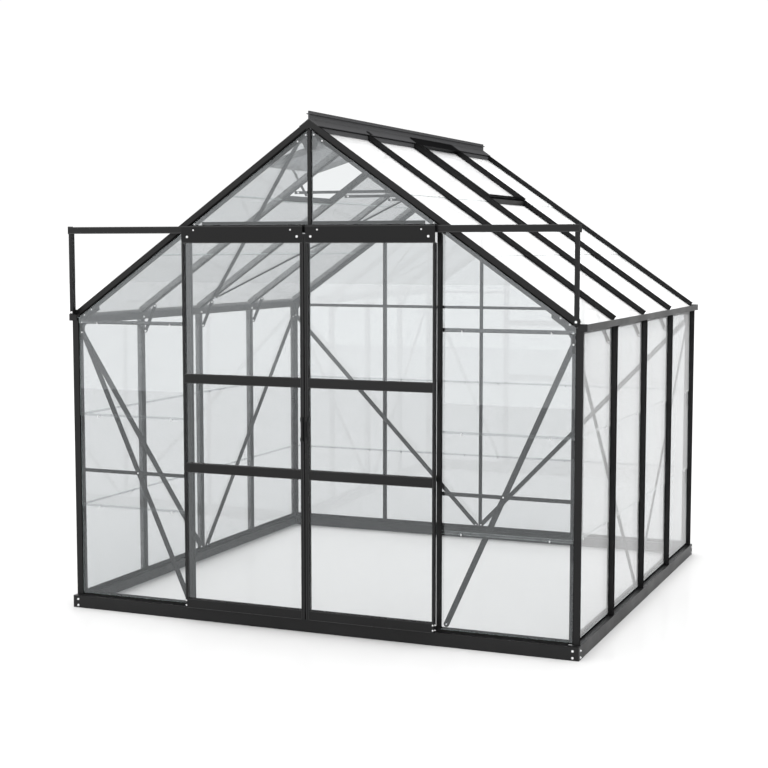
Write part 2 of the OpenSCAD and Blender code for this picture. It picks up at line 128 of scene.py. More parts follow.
def gable_plane(end):
    """A gable: along X, up Z, with 0 out at the glass. end is -1 at the doors."""
    face = FRONT + GABLE_PANE_Y if end < 0 else BACK - GABLE_PANE_Y
    return Plane((0, face, 0), (1, 0, 0), (0, 0, 1), (0, end, 0))


def roof_plane(side):
    """A roof slope: along Y, down the slope from the ridge line, with 0 out at the bars' outer edge."""
    down = Vector((side * math.cos(PITCH), 0, -math.sin(PITCH)))
    out = Vector((side * math.sin(PITCH), 0, math.cos(PITCH)))
    return Plane((0, 0, APEX_Z), (0, 1, 0), down, out)


def roof_z(x, depth=0.0):
    """Height at x of a plane that lies depth under the roof bars' outer edge."""
    return APEX_Z - abs(x) * math.tan(PITCH) - depth / math.cos(PITCH)


def bays():
    """The panes' two edges along Y in each of the four bays."""
    edges = [FRONT + 0.013] + [y + k * WEB_HALF for y in BAR_YS for k in (-1, 1)] + [BACK - 0.013]
    return list(zip(edges[0::2], edges[1::2]))


# ---------------------------------------------------------------- finishes

def new_material(name):
    material = bpy.data.materials.new(name)
    material.use_nodes = True
    tree = material.node_tree
    return material, tree, tree.nodes["Principled BSDF"]


def object_noise(tree, scale, detail=3.0):
    """A noise texture on the object's own coordinates."""
    place = tree.nodes.new("ShaderNodeTexCoord")
    noise = tree.nodes.new("ShaderNodeTexNoise")
    noise.inputs["Scale"].default_value = scale
    noise.inputs["Detail"].default_value = detail
    tree.links.new(place.outputs["Object"], noise.inputs["Vector"])
    return noise


def ramp(tree, source, low, high, socket):
    """Drives a socket from low to high by a noise."""
    spread = tree.nodes.new("ShaderNodeMapRange")
    spread.inputs["From Min"].default_value = 0.3
    spread.inputs["From Max"].default_value = 0.7
    spread.inputs["To Min"].default_value = low
    spread.inputs["To Max"].default_value = high
    tree.links.new(source.outputs["Fac"], spread.inputs["Value"])
    tree.links.new(spread.outputs["Result"], socket)


def tinted(tree, source, dark, light, socket):
    """Drives a colour socket between two colours by a noise."""
    blend = tree.nodes.new("ShaderNodeMix")
    blend.data_type = "RGBA"
    blend.inputs["A"].default_value = (*dark, 1)
    blend.inputs["B"].default_value = (*light, 1)
    tree.links.new(source.outputs["Fac"], blend.inputs["Factor"])
    tree.links.new(blend.outputs["Result"], socket)


def bumped(tree, source, strength, distance, shader):
    bump = tree.nodes.new("ShaderNodeBump")
    bump.inputs["Strength"].default_value = strength
    bump.inputs["Distance"].default_value = distance
    tree.links.new(source.outputs["Fac"], bump.inputs["Height"])
    tree.links.new(bump.outputs["Normal"], shader.inputs["Normal"])


def powder_coat(name, dark, light, gloss=0.2, rough=0.38, glancing=False):
    """Satin black powder coat: a fine orange peel, with slight drifts in colour and sheen.

    Unless glancing is set, its sheen fades where a face is seen nearly edge on, as a rough coat's does."""
    material, tree, shader = new_material(name)
    shader.inputs["Specular IOR Level"].default_value = gloss
    if not glancing:
        angle = tree.nodes.new("ShaderNodeLayerWeight")
        angle.inputs["Blend"].default_value = 0.5
        fade = tree.nodes.new("ShaderNodeMapRange")
        fade.inputs["From Min"].default_value = 0.35
        fade.inputs["From Max"].default_value = 0.75
        fade.inputs["To Min"].default_value = gloss
        fade.inputs["To Max"].default_value = 0.0
        tree.links.new(angle.outputs["Facing"], fade.inputs["Value"])
        tree.links.new(fade.outputs["Result"], shader.inputs["Specular IOR Level"])
    drift = object_noise(tree, 6.0)
    tinted(tree, drift, (dark,) * 3, (light, light, light * 1.06), shader.inputs["Base Color"])
    ramp(tree, drift, rough - 0.05, rough + 0.07, shader.inputs["Roughness"])
    bumped(tree, object_noise(tree, 700.0, 2.0), 0.12, 0.0004, shader)
    return material


def zinc(name):
    """Bright zinc-plated steel of the bolts and washers."""
    material, tree, shader = new_material(name)
    shader.inputs["Metallic"].default_value = 0.35
    grain = object_noise(tree, 400.0)
    tinted(tree, grain, (0.62, 0.62, 0.62), (0.85, 0.85, 0.86), shader.inputs["Base Color"])
    ramp(tree, grain, 0.28, 0.42, shader.inputs["Roughness"])
    return material


def spring_steel(name):
    """Dull stainless wire and strip of the glazing clips."""
    material, tree, shader = new_material(name)
    shader.inputs["Metallic"].default_value = 0.8
    grain = object_noise(tree, 300.0)
    tinted(tree, grain, (0.42, 0.42, 0.43), (0.6, 0.6, 0.61), shader.inputs["Base Color"])
    ramp(tree, grain, 0.3, 0.45, shader.inputs["Roughness"])
    return material


def seal_rubber(name):
    """Matt black rubber of the glazing seals."""
    material, tree, shader = new_material(name)
    shader.inputs["Specular IOR Level"].default_value = 0.03
    grain = object_noise(tree, 150.0)
    tinted(tree, grain, (0.002,) * 3, (0.004,) * 3, shader.inputs["Base Color"])
    ramp(tree, grain, 0.6, 0.8, shader.inputs["Roughness"])
    bumped(tree, grain, 0.2, 0.0005, shader)
    return material


def brush_pile(name):
    """Grey pile of the doors' draught strips, with its fibres across the strip."""
    material, tree, shader = new_material(name)
    fibres = object_noise(tree, 1200.0, 1.0)
    tinted(tree, fibres, (0.02,) * 3, (0.09,) * 3, shader.inputs["Base Color"])
    ramp(tree, fibres, 0.75, 0.95, shader.inputs["Roughness"])
    shader.inputs["Sheen Weight"].default_value = 0.3
    bumped(tree, fibres, 0.6, 0.001, shader)
    return material


def moulded_nylon(name):
    """Off-white nylon of the door hangers."""
    material, tree, shader = new_material(name)
    grain = object_noise(tree, 90.0)
    tinted(tree, grain, (0.4, 0.4, 0.39), (0.52, 0.52, 0.5), shader.inputs["Base Color"])
    ramp(tree, grain, 0.4, 0.55, shader.inputs["Roughness"])
    return material


def clear_glass(name, tint, head_on):
    """Clear sheet glass that doesn't bend what is seen through it.

    Each face tints a little and mirrors head_on of what lies before it. The more edge on it is seen, the more
    it turns to a matt veil that stands in for its reflection. The lamps light the veil, and its colour holds
    painted light: it is paler the more the face points up, as if the face mirrored a bright sky."""
    material, tree, shader = new_material(name)
    tree.nodes.remove(shader)
    through = tree.nodes.new("ShaderNodeBsdfTransparent")
    through.inputs["Color"].default_value = (*tint, 1)
    mirror = tree.nodes.new("ShaderNodeBsdfGlossy")
    mirror.inputs["Color"].default_value = (0.94, 0.98, 1.0, 1)
    mirror.inputs["Roughness"].default_value = 0.015
    reflection_veil = tree.nodes.new("ShaderNodeBsdfDiffuse")
    place = tree.nodes.new("ShaderNodeNewGeometry")
    upward = tree.nodes.new("ShaderNodeSeparateXYZ")
    # Painted light: the veil's colour runs from dark to pale as the face turns from down to up, standing in
    # for the reflection of a bright sky above.
    painted_sky_ramp = tree.nodes.new("ShaderNodeMapRange")
    painted_sky_ramp.inputs["From Min"].default_value = -ROOF_RISE
    painted_sky_ramp.inputs["From Max"].default_value = ROOF_RISE
    painted_sky_ramp.inputs["To Min"].default_value = 0.35
    painted_sky_ramp.inputs["To Max"].default_value = 0.85
    tree.links.new(place.outputs["Normal"], upward.inputs["Vector"])
    tree.links.new(upward.outputs["Z"], painted_sky_ramp.inputs["Value"])
    tree.links.new(painted_sky_ramp.outputs["Result"], reflection_veil.inputs["Color"])
    angle = tree.nodes.new("ShaderNodeLayerWeight")
    angle.inputs["Blend"].default_value = 0.5
    steep = tree.nodes.new("ShaderNodeMath")
    steep.operation = "POWER"
    steep.inputs[1].default_value = 5.0
    clear = tree.nodes.new("ShaderNodeMixShader")
    clear.inputs["Fac"].default_value = head_on
    mix = tree.nodes.new("ShaderNodeMixShader")
    tree.links.new(through.outputs["BSDF"], clear.inputs[1])
    tree.links.new(mirror.outputs["BSDF"], clear.inputs[2])
    tree.links.new(angle.outputs["Facing"], steep.inputs[0])
    tree.links.new(steep.outputs["Value"], mix.inputs["Fac"])
    tree.links.new(clear.outputs["Shader"], mix.inputs[1])
    tree.links.new(reflection_veil.outputs["BSDF"], mix.inputs[2])
    tree.links.new(mix.outputs["Shader"], tree.nodes["Material Output"].inputs["Surface"])
    return material


def cut_edge(name):
    """The grey-green cut edge of a pane."""
    material, tree, shader = new_material(name)
    grain = object_noise(tree, 60.0)
    tinted(tree, grain, (0.22, 0.27, 0.26), (0.32, 0.37, 0.36), shader.inputs["Base Color"])
    ramp(tree, grain, 0.2, 0.35, shader.inputs["Roughness"])
    return material


FRAME_PAINT = powder_coat("frame_powder_coat", 0.004, 0.007)
PLINTH_PAINT = powder_coat("plinth_powder_coat", 0.005, 0.009, 0.22, 0.42, glancing=True)
STRAP_PAINT = powder_coat("strap_powder_coat", 0.005, 0.009, 0.22, 0.45)
PLATE_PAINT = powder_coat("door_plate_powder_coat", 0.004, 0.006, 0.15, 0.42)
# Painted sheen: the ridge's black coat gets a grey colour and little gloss, so the brightness that its upward
# faces catch is painted into its colour.
RIDGE_PAINTED_SHEEN = powder_coat("ridge_powder_coat_painted_sheen", 0.050, 0.060, 0.04, 0.6)
GUTTER_PAINT = powder_coat("gutter_powder_coat", 0.005, 0.009, 0.14, 0.45, glancing=True)
CAP_PLASTIC = powder_coat("moulded_cap_plastic", 0.006, 0.010, 0.2, 0.4)
LIP_PAINT = powder_coat("trim_lip_powder_coat", 0.006, 0.010, 0.5, 0.3)
BOLT_ZINC = zinc("bolt_zinc")
CLIP_STEEL = spring_steel("clip_spring_steel")
SEAL_RUBBER = seal_rubber("glazing_rubber")
BRUSH_PILE = brush_pile("draught_brush")
NYLON = moulded_nylon("wheel_nylon")
PANE_GLASS = clear_glass("pane_glass", (0.868, 0.873, 0.875), 0.055)
# Painted shade: the vents' panes are tinted much darker than the other panes, for their dim look rather than
# any colour of the glass itself.
VENT_GLASS_PAINTED_SHADE = clear_glass("vent_glass", (0.55, 0.56, 0.575), 0.055)
PANE_EDGE = cut_edge("pane_cut_edge")


def dress(name, material):
    """Gives a node of the frame its finish."""
    slots = nodes[name].data.materials
    slots.clear()
    slots.append(material)


# ---------------------------------------------------------------- making pieces

def block(mesh, plane, us, vs, ns, slot_index=0):
    """A box between two places along, up and out of a plane."""
    corners = [mesh.verts.new(plane.at(u, v, n)) for n in ns for v in vs for u in us]
    sides = [(0, 2, 3, 1), (4, 5, 7, 6), (0, 1, 5, 4), (2, 6, 7, 3), (0, 4, 6, 2), (1, 3, 7, 5)]
    for side in sides:
        mesh.faces.new([corners[i] for i in side]).material_index = slot_index


def finish_piece(mesh, name, materials, body, bevel=0.0):
    """Turns a bmesh into a piece that rides on a body."""
    if bevel:
        bmesh.ops.bevel(mesh, geom=mesh.edges[:], offset=bevel, segments=2, affect="EDGES", profile=0.6)
    bmesh.ops.recalc_face_normals(mesh, faces=mesh.faces[:])
    data = bpy.data.meshes.new(name)
    mesh.to_mesh(data)
    mesh.free()
    for material in materials:
        data.materials.append(material)
    piece = bpy.data.objects.new(name, data)
    bpy.context.scene.collection.objects.link(piece)
    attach(piece, body)
    return piece


def blocks_piece(name, parts, material, body=HOUSE, bevel=0.0):
    """A piece made of boxes, each given as a plane and its three spans."""
    mesh = bmesh.new()
    for part in parts:
        block(mesh, *part)
    return finish_piece(mesh, name, [material], body, bevel)


# ---------------------------------------------------------------- panes

def clip_outline(outline, low, high):
    """The part of a convex outline between two heights."""
    for keep, level in ((1, low), (-1, high)):
        kept = []
        for (u0, v0), (u1, v1) in zip(outline, outline[1:] + outline[:1]):
            a, b = keep * (v0 - level), keep * (v1 - level)
            if a >= 0:
                kept.append((u0, v0))
            if a * b < 0:
                t = a / (a - b)
                kept.append((u0 + (u1 - u0) * t, v0 + (v1 - v0) * t))
        outline = kept
    return outline


def pane(mesh, plane, outline, face, lean, low, high):
    """One sheet: an outline at the glass line, leaning out by lean at low and in by lean at high."""
    def out(v):
        return face + lean * (1 - 2 * (v - low) / (high - low))
    outer = [mesh.verts.new(plane.at(u, v, out(v))) for u, v in outline]
    inner = [mesh.verts.new(plane.at(u, v, out(v) - GLASS_T)) for u, v in outline]
    mesh.faces.new(outer)
    mesh.faces.new(inner[::-1])
    for i in range(len(outline)):
        j = (i + 1) % len(outline)
        mesh.faces.new((outer[j], outer[i], inner[i], inner[j])).material_index = 1


def lapped_rows(bottom, top, laps):
    """Low and high edge of each pane from bottom to top, each lapping over the one below."""
    lows = [bottom] + [z - LAP / 2 for z in laps]
    highs = [z + LAP / 2 for z in laps] + [top]
    return list(zip(lows, highs))


def panes_piece(name, plane, outlines, rows, face, replaced):
    """A wall's or slope's panes: every outline cut into rows that lap."""
    mesh = bmesh.new()
    for outline in outlines:
        for low, high in rows:
            part = clip_outline(outline, low, high)
            if len(part) > 2:
                pane(mesh, plane, part, face, LEAN if plane.rise.z > 0.9 else -LEAN, low, high)
    piece = finish_piece(mesh, name, [PANE_GLASS, PANE_EDGE], HOUSE)
    piece.visible_shadow = False
    piece.visible_diffuse = False
    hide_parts(replaced)
    return piece


def rectangle(u0, u1, v0, v1):
    return [(u0, v0), (u1, v0), (u1, v1), (u0, v1)]


WALL_ROWS = lapped_rows(WALL_GLASS_LOW.z, WALL_GLASS_HIGH.z, LAP_ZS)
GABLE_ROWS = lapped_rows(WALL_GLASS_LOW.z, APEX_Z, LAP_ZS + [EAVES_Z - 0.006])


def wall_outlines():
    return [rectangle(y0, y1, WALL_GLASS_LOW.z, WALL_GLASS_HIGH.z) for y0, y1 in bays()]


def gable_outline(x0, x1, bottom):
    """A gable pane's full outline from bottom to under the rafter."""
    return [(x0, bottom), (x1, bottom), (x1, roof_z(x1, GABLE_TOP)), (x0, roof_z(x0, GABLE_TOP))]


def mirrored(outlines):
    return outlines + [[(-u, v) for u, v in reversed(outline)] for outline in outlines]


def front_outlines():
    over_door = HEADER_LOW.z + HEADER_LIP + 0.0005
    end = (APEX_Z - GABLE_TOP / math.cos(PITCH) - over_door) / math.tan(PITCH)
    top = [(PANE_PLAY, over_door), (end, over_door), (PANE_PLAY, roof_z(PANE_PLAY, GABLE_TOP))]
    return mirrored([gable_outline(JAMB_X + PANE_PLAY, PANE_X, WALL_GLASS_LOW.z), top])


def back_outlines():
    return mirrored([gable_outline(JAMB_X + PANE_PLAY, PANE_X, WALL_GLASS_LOW.z),
                     gable_outline(PANE_PLAY, JAMB_X - PANE_PLAY, WALL_GLASS_LOW.z)])


def slope_at(x, depth):
    """Distance down the slope of a point at x that lies depth under the bars' outer edge."""
    return (x + depth * math.sin(PITCH)) / math.cos(PITCH)


ROOF_PANE_END = slope_at(ROOF_GLASS_HIGH.x, PANE_DEPTH)


def roof_outlines(side):
    tops = [VENT_PANE_TOP if i == VENT_BAYS[side] else ROOF_PANE_TOP for i in range(4)]
    return [rectangle(y0, y1, top, ROOF_PANE_END) for (y0, y1), top in zip(bays(), tops)]


def roof_rows():
    """From the gutter up: the slope's distance runs down, so the highest pane has the least."""
    lows = [ROOF_PANE_TOP] + [s - LAP / 2 for s in LAP_SS]
    highs = [s + LAP / 2 for s in LAP_SS] + [ROOF_PANE_END]
    return list(zip(lows, highs))


def make_panes():
    for side, word in ((-1, "left"), (1, "right")):
        panes_piece(f"wall_panes_{word}", wall_plane(side), wall_outlines(), WALL_ROWS, 0.0, f"glass_{word}")
        panes_piece(f"roof_panes_{word}", roof_plane(side), roof_outlines(side), roof_rows(),
                    -PANE_DEPTH, f"roof_glass_{word}")
    panes_piece("gable_panes_front", gable_plane(-1), front_outlines(), GABLE_ROWS, 0.0, "glass_front")
    panes_piece("gable_panes_back", gable_plane(1), back_outlines(), GABLE_ROWS, 0.0, "glass_back")
    # The vents' panes get the glass with painted shade.
    for name in ("door_left_glass", "door_right_glass", "vent_left_glass", "vent_right_glass"):
        dress(name, VENT_GLASS_PAINTED_SHADE if name.startswith("vent") else PANE_GLASS)
        nodes[name].visible_shadow = False
        nodes[name].visible_diffuse = False


# ---------------------------------------------------------------- repeated fittings, by Geometry Nodes

class Tree:
    """A geometry node tree that sets a given material, with named size inputs, and short words for its nodes.
    """

    def __init__(self, name, sizes, material):
        self.group = bpy.data.node_groups.new(name, "GeometryNodeTree")
        self.group.interface.new_socket("Geometry", in_out="INPUT", socket_type="NodeSocketGeometry")
        for label, size in sizes.items():
            socket = self.group.interface.new_socket(label, in_out="INPUT", socket_type="NodeSocketFloat")
            socket.default_value = size
        self.group.interface.new_socket("Geometry", in_out="OUTPUT", socket_type="NodeSocketGeometry")
        self.start = self.group.nodes.new("NodeGroupInput")
        self.end = self.group.nodes.new("NodeGroupOutput")
        self.material = material

    def node(self, kind, **inputs):
        made = self.group.nodes.new(kind)
        for label, value in inputs.items():
            socket = made.inputs[label.replace("_", " ")]
            if isinstance(value, bpy.types.NodeSocket):
                self.group.links.new(value, socket)
            else:
                socket.default_value = value
        return made

    def maths(self, operation, a, b):
        made = self.group.nodes.new("ShaderNodeMath")
        made.operation = operation
        for socket, value in zip(made.inputs, (a, b)):
            if isinstance(value, bpy.types.NodeSocket):
                self.group.links.new(value, socket)
            else:
                socket.default_value = value
        return made.outputs[0]

    def height(self, z):
        """A vector of z alone."""
        return self.node("ShaderNodeCombineXYZ", Z=z).outputs[0]

    def moved(self, geometry, offset):
        return self.node("GeometryNodeTransform", Geometry=geometry, Translation=offset).outputs[0]

    def rod(self, radius, depth, base, sides):
        """A round or many-sided rod that stands on base."""
        rod = self.node("GeometryNodeMeshCylinder", Vertices=sides, Radius=radius, Depth=depth)
        middle = self.maths("ADD", base, self.maths("MULTIPLY", depth, 0.5))
        return self.moved(rod.outputs["Mesh"], self.height(middle))

    def joined(self, parts):
        join = self.group.nodes.new("GeometryNodeJoinGeometry")
        for part in parts:
            self.group.links.new(part, join.inputs[0])
        return join.outputs[0]

    def scattered(self, shape):
        """The shape at every point, turned by the points' own turn, as a plain mesh with the material."""
        turn = self.group.nodes.new("GeometryNodeInputNamedAttribute")
        turn.data_type = "FLOAT_VECTOR"
        turn.inputs["Name"].default_value = "turn"
        facing = self.node("FunctionNodeEulerToRotation", Euler=turn.outputs["Attribute"])
        spread = self.node("GeometryNodeInstanceOnPoints", Points=self.start.outputs["Geometry"],
                           Instance=shape, Rotation=facing.outputs[0])
        real = self.node("GeometryNodeRealizeInstances", Geometry=spread.outputs[0])
        painted = self.node("GeometryNodeSetMaterial", Geometry=real.outputs[0], Material=self.material)
        self.group.links.new(painted.outputs[0], self.end.inputs[0])


def bolt_tree():
    """A washer, a hexagon nut and the bolt's end, standing on the surface along Z."""
    tree = Tree("bolt_and_nut", {"Washer radius": 0.006, "Nut height": 0.004}, BOLT_ZINC)
    radius, height = tree.start.outputs["Washer radius"], tree.start.outputs["Nut height"]
    washer_t = 0.0012
    washer = tree.rod(radius, washer_t, 0.0, 18)
    nut = tree.rod(tree.maths("MULTIPLY", radius, 0.8), height, washer_t, 6)
    end = tree.rod(tree.maths("MULTIPLY", radius, 0.42), tree.maths("ADD", height, 0.0015), washer_t, 10)
    tree.scattered(tree.joined([washer, nut, end]))
    return tree.group


def clip_tree():
    """A lap clip: a flat plate over the lap and a lip across its middle, that holds the upper pane."""
    tree = Tree("lap_clip", {"Clip width": 0.006, "Clip length": 0.010}, CLIP_STEEL)
    width, length = tree.start.outputs["Clip width"], tree.start.outputs["Clip length"]
    strip_t = 0.0008
    size = tree.node("ShaderNodeCombineXYZ", X=width, Y=length, Z=strip_t).outputs[0]
    plate = tree.node("GeometryNodeMeshCube", Size=size).outputs["Mesh"]
    lip_size = tree.node("ShaderNodeCombineXYZ", X=width, Y=strip_t * 2, Z=0.006).outputs[0]
    lip = tree.node("GeometryNodeMeshCube", Size=lip_size).outputs["Mesh"]
    plate, lip = tree.moved(plate, tree.height(0.0055)), tree.moved(lip, tree.height(0.0028))
    tree.scattered(tree.joined([plate, lip]))
    return tree.group


BOLT_TREE = bolt_tree()
CLIP_TREE = clip_tree()


def facing(out, up=(0, 0, 1)):
    """The turn that points a shape's Z along out and its Y near up."""
    z = Vector(out).normalized()
    up = Vector(up) if abs(z.dot(Vector(up))) < 0.99 else Vector((0, 1, 0))
    x = up.cross(z).normalized()
    return Matrix((x, z.cross(x), z)).transposed().to_euler("XYZ")


def fittings(name, tree, spots, body=HOUSE, sizes=None):
    """Sets a tree's shape at each spot, a (point, out) or (point, out, up), and makes it one plain mesh."""
    data = bpy.data.meshes.new(name + "_spots")
    data.from_pydata([tuple(spot[0]) for spot in spots], [], [])
    turns = data.attributes.new("turn", "FLOAT_VECTOR", "POINT")
    flat = [value for spot in spots for value in facing(*spot[1:])]
    turns.data.foreach_set("vector", flat)
    seed = bpy.data.objects.new(name + "_seed", data)
    bpy.context.scene.collection.objects.link(seed)
    modifier = seed.modifiers.new("fittings", "NODES")
    modifier.node_group = tree
    for item in tree.interface.items_tree:
        if item.in_out == "INPUT" and item.name in (sizes or {}):
            modifier[item.identifier] = sizes[item.name]
    shown = seed.evaluated_get(bpy.context.evaluated_depsgraph_get())
    mesh = bpy.data.meshes.new_from_object(shown)
    mesh.name = name
    piece = bpy.data.objects.new(name, mesh)
    bpy.context.scene.collection.objects.link(piece)
    bpy.data.objects.remove(seed)
    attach(piece, body)
    return piece


SMALL_BOLT = {"Washer radius": 0.0036, "Nut height": 0.0025}
LARGE_BOLT = {"Washer radius": 0.0054, "Nut height": 0.0035}


def both_sides(points):
    """Each point and its mirror image across the middle."""
    return [Vector((side * x, y, z)) for side in (-1, 1) for x, y, z in points]


def house_bolts():
    """Bolts of the plinth, gables, gussets, straps and rail, each a (point, out)."""
    front, back = Vector((0, -1, 0)), Vector((0, 1, 0))
    spots = []
    plinth_y, plinth_x = (PLINTH_LOW.y, 2 * MIDDLE - PLINTH_LOW.y), PLINTH_HIGH.x
    for z in (0.012, 0.042):
        for x in (-1.257, 1.257):
            spots += [((x, plinth_y[0], z), front), ((x, plinth_y[1], z), back)]
        for side in (-1, 1):
            for y in (plinth_y[0] + 0.022, plinth_y[1] - 0.022):
                spots.append(((side * plinth_x, y, z), (side, 0, 0)))
    gusset = 0.0145
    for end, plane_y in ((front, FRONT + gusset), (back, BACK - gusset)):
        gusset_spots = [(1.177, 1.471), (1.218, 1.444), (1.234, 1.408),
                        (1.235, 1.359), (0.020, 2.277), (0.061, 2.249)]
        spots += [(p, end) for p in both_sides([(x, plane_y, z) for x, z in gusset_spots])]
    spots += [(p, front) for p in both_sides([(0.600, FRONT + 0.0125, 1.879)])]
    spots += [(p, front) for p in both_sides([(1.2585, STRUT_LOW.y, 1.458)])]
    for side in (-1, 1):
        inward = Vector((-side, 0, 0))
        for y in BAR_YS:
            spots.append(((side * BEAM_X, y, 1.411), inward))
    for y in BAR_YS:
        for point in both_sides([(TIE_HIGH.x - 0.02, y + 0.005, (TIE_LOW.z + TIE_HIGH.z) / 2),
                                 (1.238, y + 0.005, 1.336), (1.180, y + 0.005, 1.468)]):
            spots.append((point, back))
            spots.append((point - Vector((0, 0.003, 0)), front))
    return spots


def strap_bolts():
    """Bolts at the ends of the diagonals, seen from inside and out, and on the rails beside the doors."""
    front_spots = [(0.927, FRONT + 0.010, 0.683), (0.662, FRONT + 0.018, 0.092)]
    spots = [(p, (0, -1, 0)) for p in both_sides(front_spots)]
    for side in (-1, 1):
        for y, z in ((1.160, 1.337), (0.034, 0.084)):
            for end in (-1, 1):
                spots.append(((side * 1.2435, MIDDLE + end * y, z), (-side, 0, 0)))
        for x, z in ((1.226, 1.346), (0.016, 0.092)):
            spots.append(((side * x, BACK - 0.041, z), (0, 1, 0)))
            spots.append(((side * x, BACK - 0.044, z), (0, -1, 0)))
        plane = roof_plane(side)
        for s, y in ((1.430, 0.020), (0.096, 1.172)):
            for end in (-1, 1):
                spots.append((plane.at(MIDDLE + end * y, s, -0.036), -plane.out))
    return spots


def door_bolts(side):
    """Larger and smaller bolts of one door's head plate, stiles and corners."""
    y, out = HEAD_LOW.y, Vector((0, -1, 0))
    large = [((side * x, y, z), out) for x, z in ((0.034, 1.8205), (0.600, 1.820))]
    small = [((side * x, y, z), out) for x, z in ((0.067, 1.851), (0.567, 1.851))]
    edge = side * STILE_HIGH.x
    small += [((edge, y + 0.0085, z), (side, 0, 0)) for z in (1.831, 1.798, 0.100, 0.077)]
    small += [((side * 0.626, STILE_LOW.y, z), out) for z in (0.100, 0.077)]
    return large, small


def lap_clips():
    """Clips at every lap of the walls, gables and slopes: (point, out, up)."""
    spots = []
    for side in (-1, 1):
        plane = wall_plane(side)
        for y0, y1 in bays():
            for z in LAP_ZS:
                for y in (y0 + CLIP_INSET, y1 - CLIP_INSET):
                    spots.append((plane.at(y, z - LAP / 2), plane.out, (0, 0, 1)))
        plane = roof_plane(side)
        for i, (y0, y1) in enumerate(bays()):
            for s in LAP_SS[1:] if i == VENT_BAYS[side] else LAP_SS:
                for y in (y0 + CLIP_INSET, y1 - CLIP_INSET):
                    spots.append((plane.at(y, s + LAP / 2, -PANE_DEPTH), plane.out, -plane.rise))
    for end in (-1, 1):
        plane = gable_plane(end)
        edges = [JAMB_X + CLIP_INSET, PANE_X - CLIP_INSET]
        if end > 0:
            edges += [CLIP_INSET, JAMB_X - CLIP_INSET]
        for z in LAP_ZS + [EAVES_Z - 0.006]:
            for x in edges:
                for side in (-1, 1):
                    spots.append((plane.at(side * x, z - LAP / 2), plane.out, (0, 0, 1)))
    return spots


def make_fittings():
    fittings("frame_bolts", BOLT_TREE, house_bolts(), sizes=LARGE_BOLT)
    fittings("strap_bolts", BOLT_TREE, strap_bolts(), sizes=SMALL_BOLT)
    fittings("glazing_clips", CLIP_TREE, lap_clips())
    for body, side in DOORS.items():
        large, small = door_bolts(side)
        fittings(f"{body}_head_bolts", BOLT_TREE, large, body, sizes=LARGE_BOLT)
        fittings(f"{body}_small_bolts", BOLT_TREE, small, body, sizes=SMALL_BOLT)


# ---------------------------------------------------------------- seals and trim

def make_seals():
    """Rubber strips along both edges of every cap, against the glass."""
    tuck, strip = 0.001, 0.003          # how far a strip reaches under the cap's edge, and beyond it
    low, high = 0.0022, 0.0046          # a strip's faces, out from the glass
    parts = []
    for side in (-1, 1):
        wall, roof = wall_plane(side), roof_plane(side)
        for y in BAR_YS:
            for k in (-1, 1):
                edge = y + k * CAP_W / 2
                span = sorted((edge - k * tuck, edge + k * strip))
                parts.append((wall, span, (WALL_GLASS_LOW.z, WALL_GLASS_HIGH.z), (low, high)))
                parts.append((roof, span, (SEAL_TOP, SEAL_END), (-PANE_DEPTH + low, -PANE_DEPTH + high)))
    blocks_piece("glazing_seals", parts, SEAL_RUBBER)


def make_rail_trim():
    """Lips along the door rail's front edges and a cap on each of its ends."""
    face = Plane((0, RAIL_LOW.y, 0), (1, 0, 0), (0, 0, 1), (0, -1, 0))
    ends = RAIL_HIGH.x
    parts = [(face, (-ends, ends), (RAIL_HIGH.z - 0.0035, RAIL_HIGH.z), (0, 0.0008)),
             (face, (-ends, ends), (RAIL_LOW.z, RAIL_LOW.z + 0.003), (0, 0.0008))]
    blocks_piece("door_rail_lips", parts, LIP_PAINT)
    depth = RAIL_HIGH.y - RAIL_LOW.y
    caps = [(face, sorted((side * ends, side * (ends + 0.003))), (RAIL_LOW.z - 0.0015, RAIL_HIGH.z + 0.003),
             (-depth + 0.001, 0.002)) for side in (-1, 1)]
    blocks_piece("door_rail_end_caps", caps, CAP_PLASTIC, bevel=0.0008)


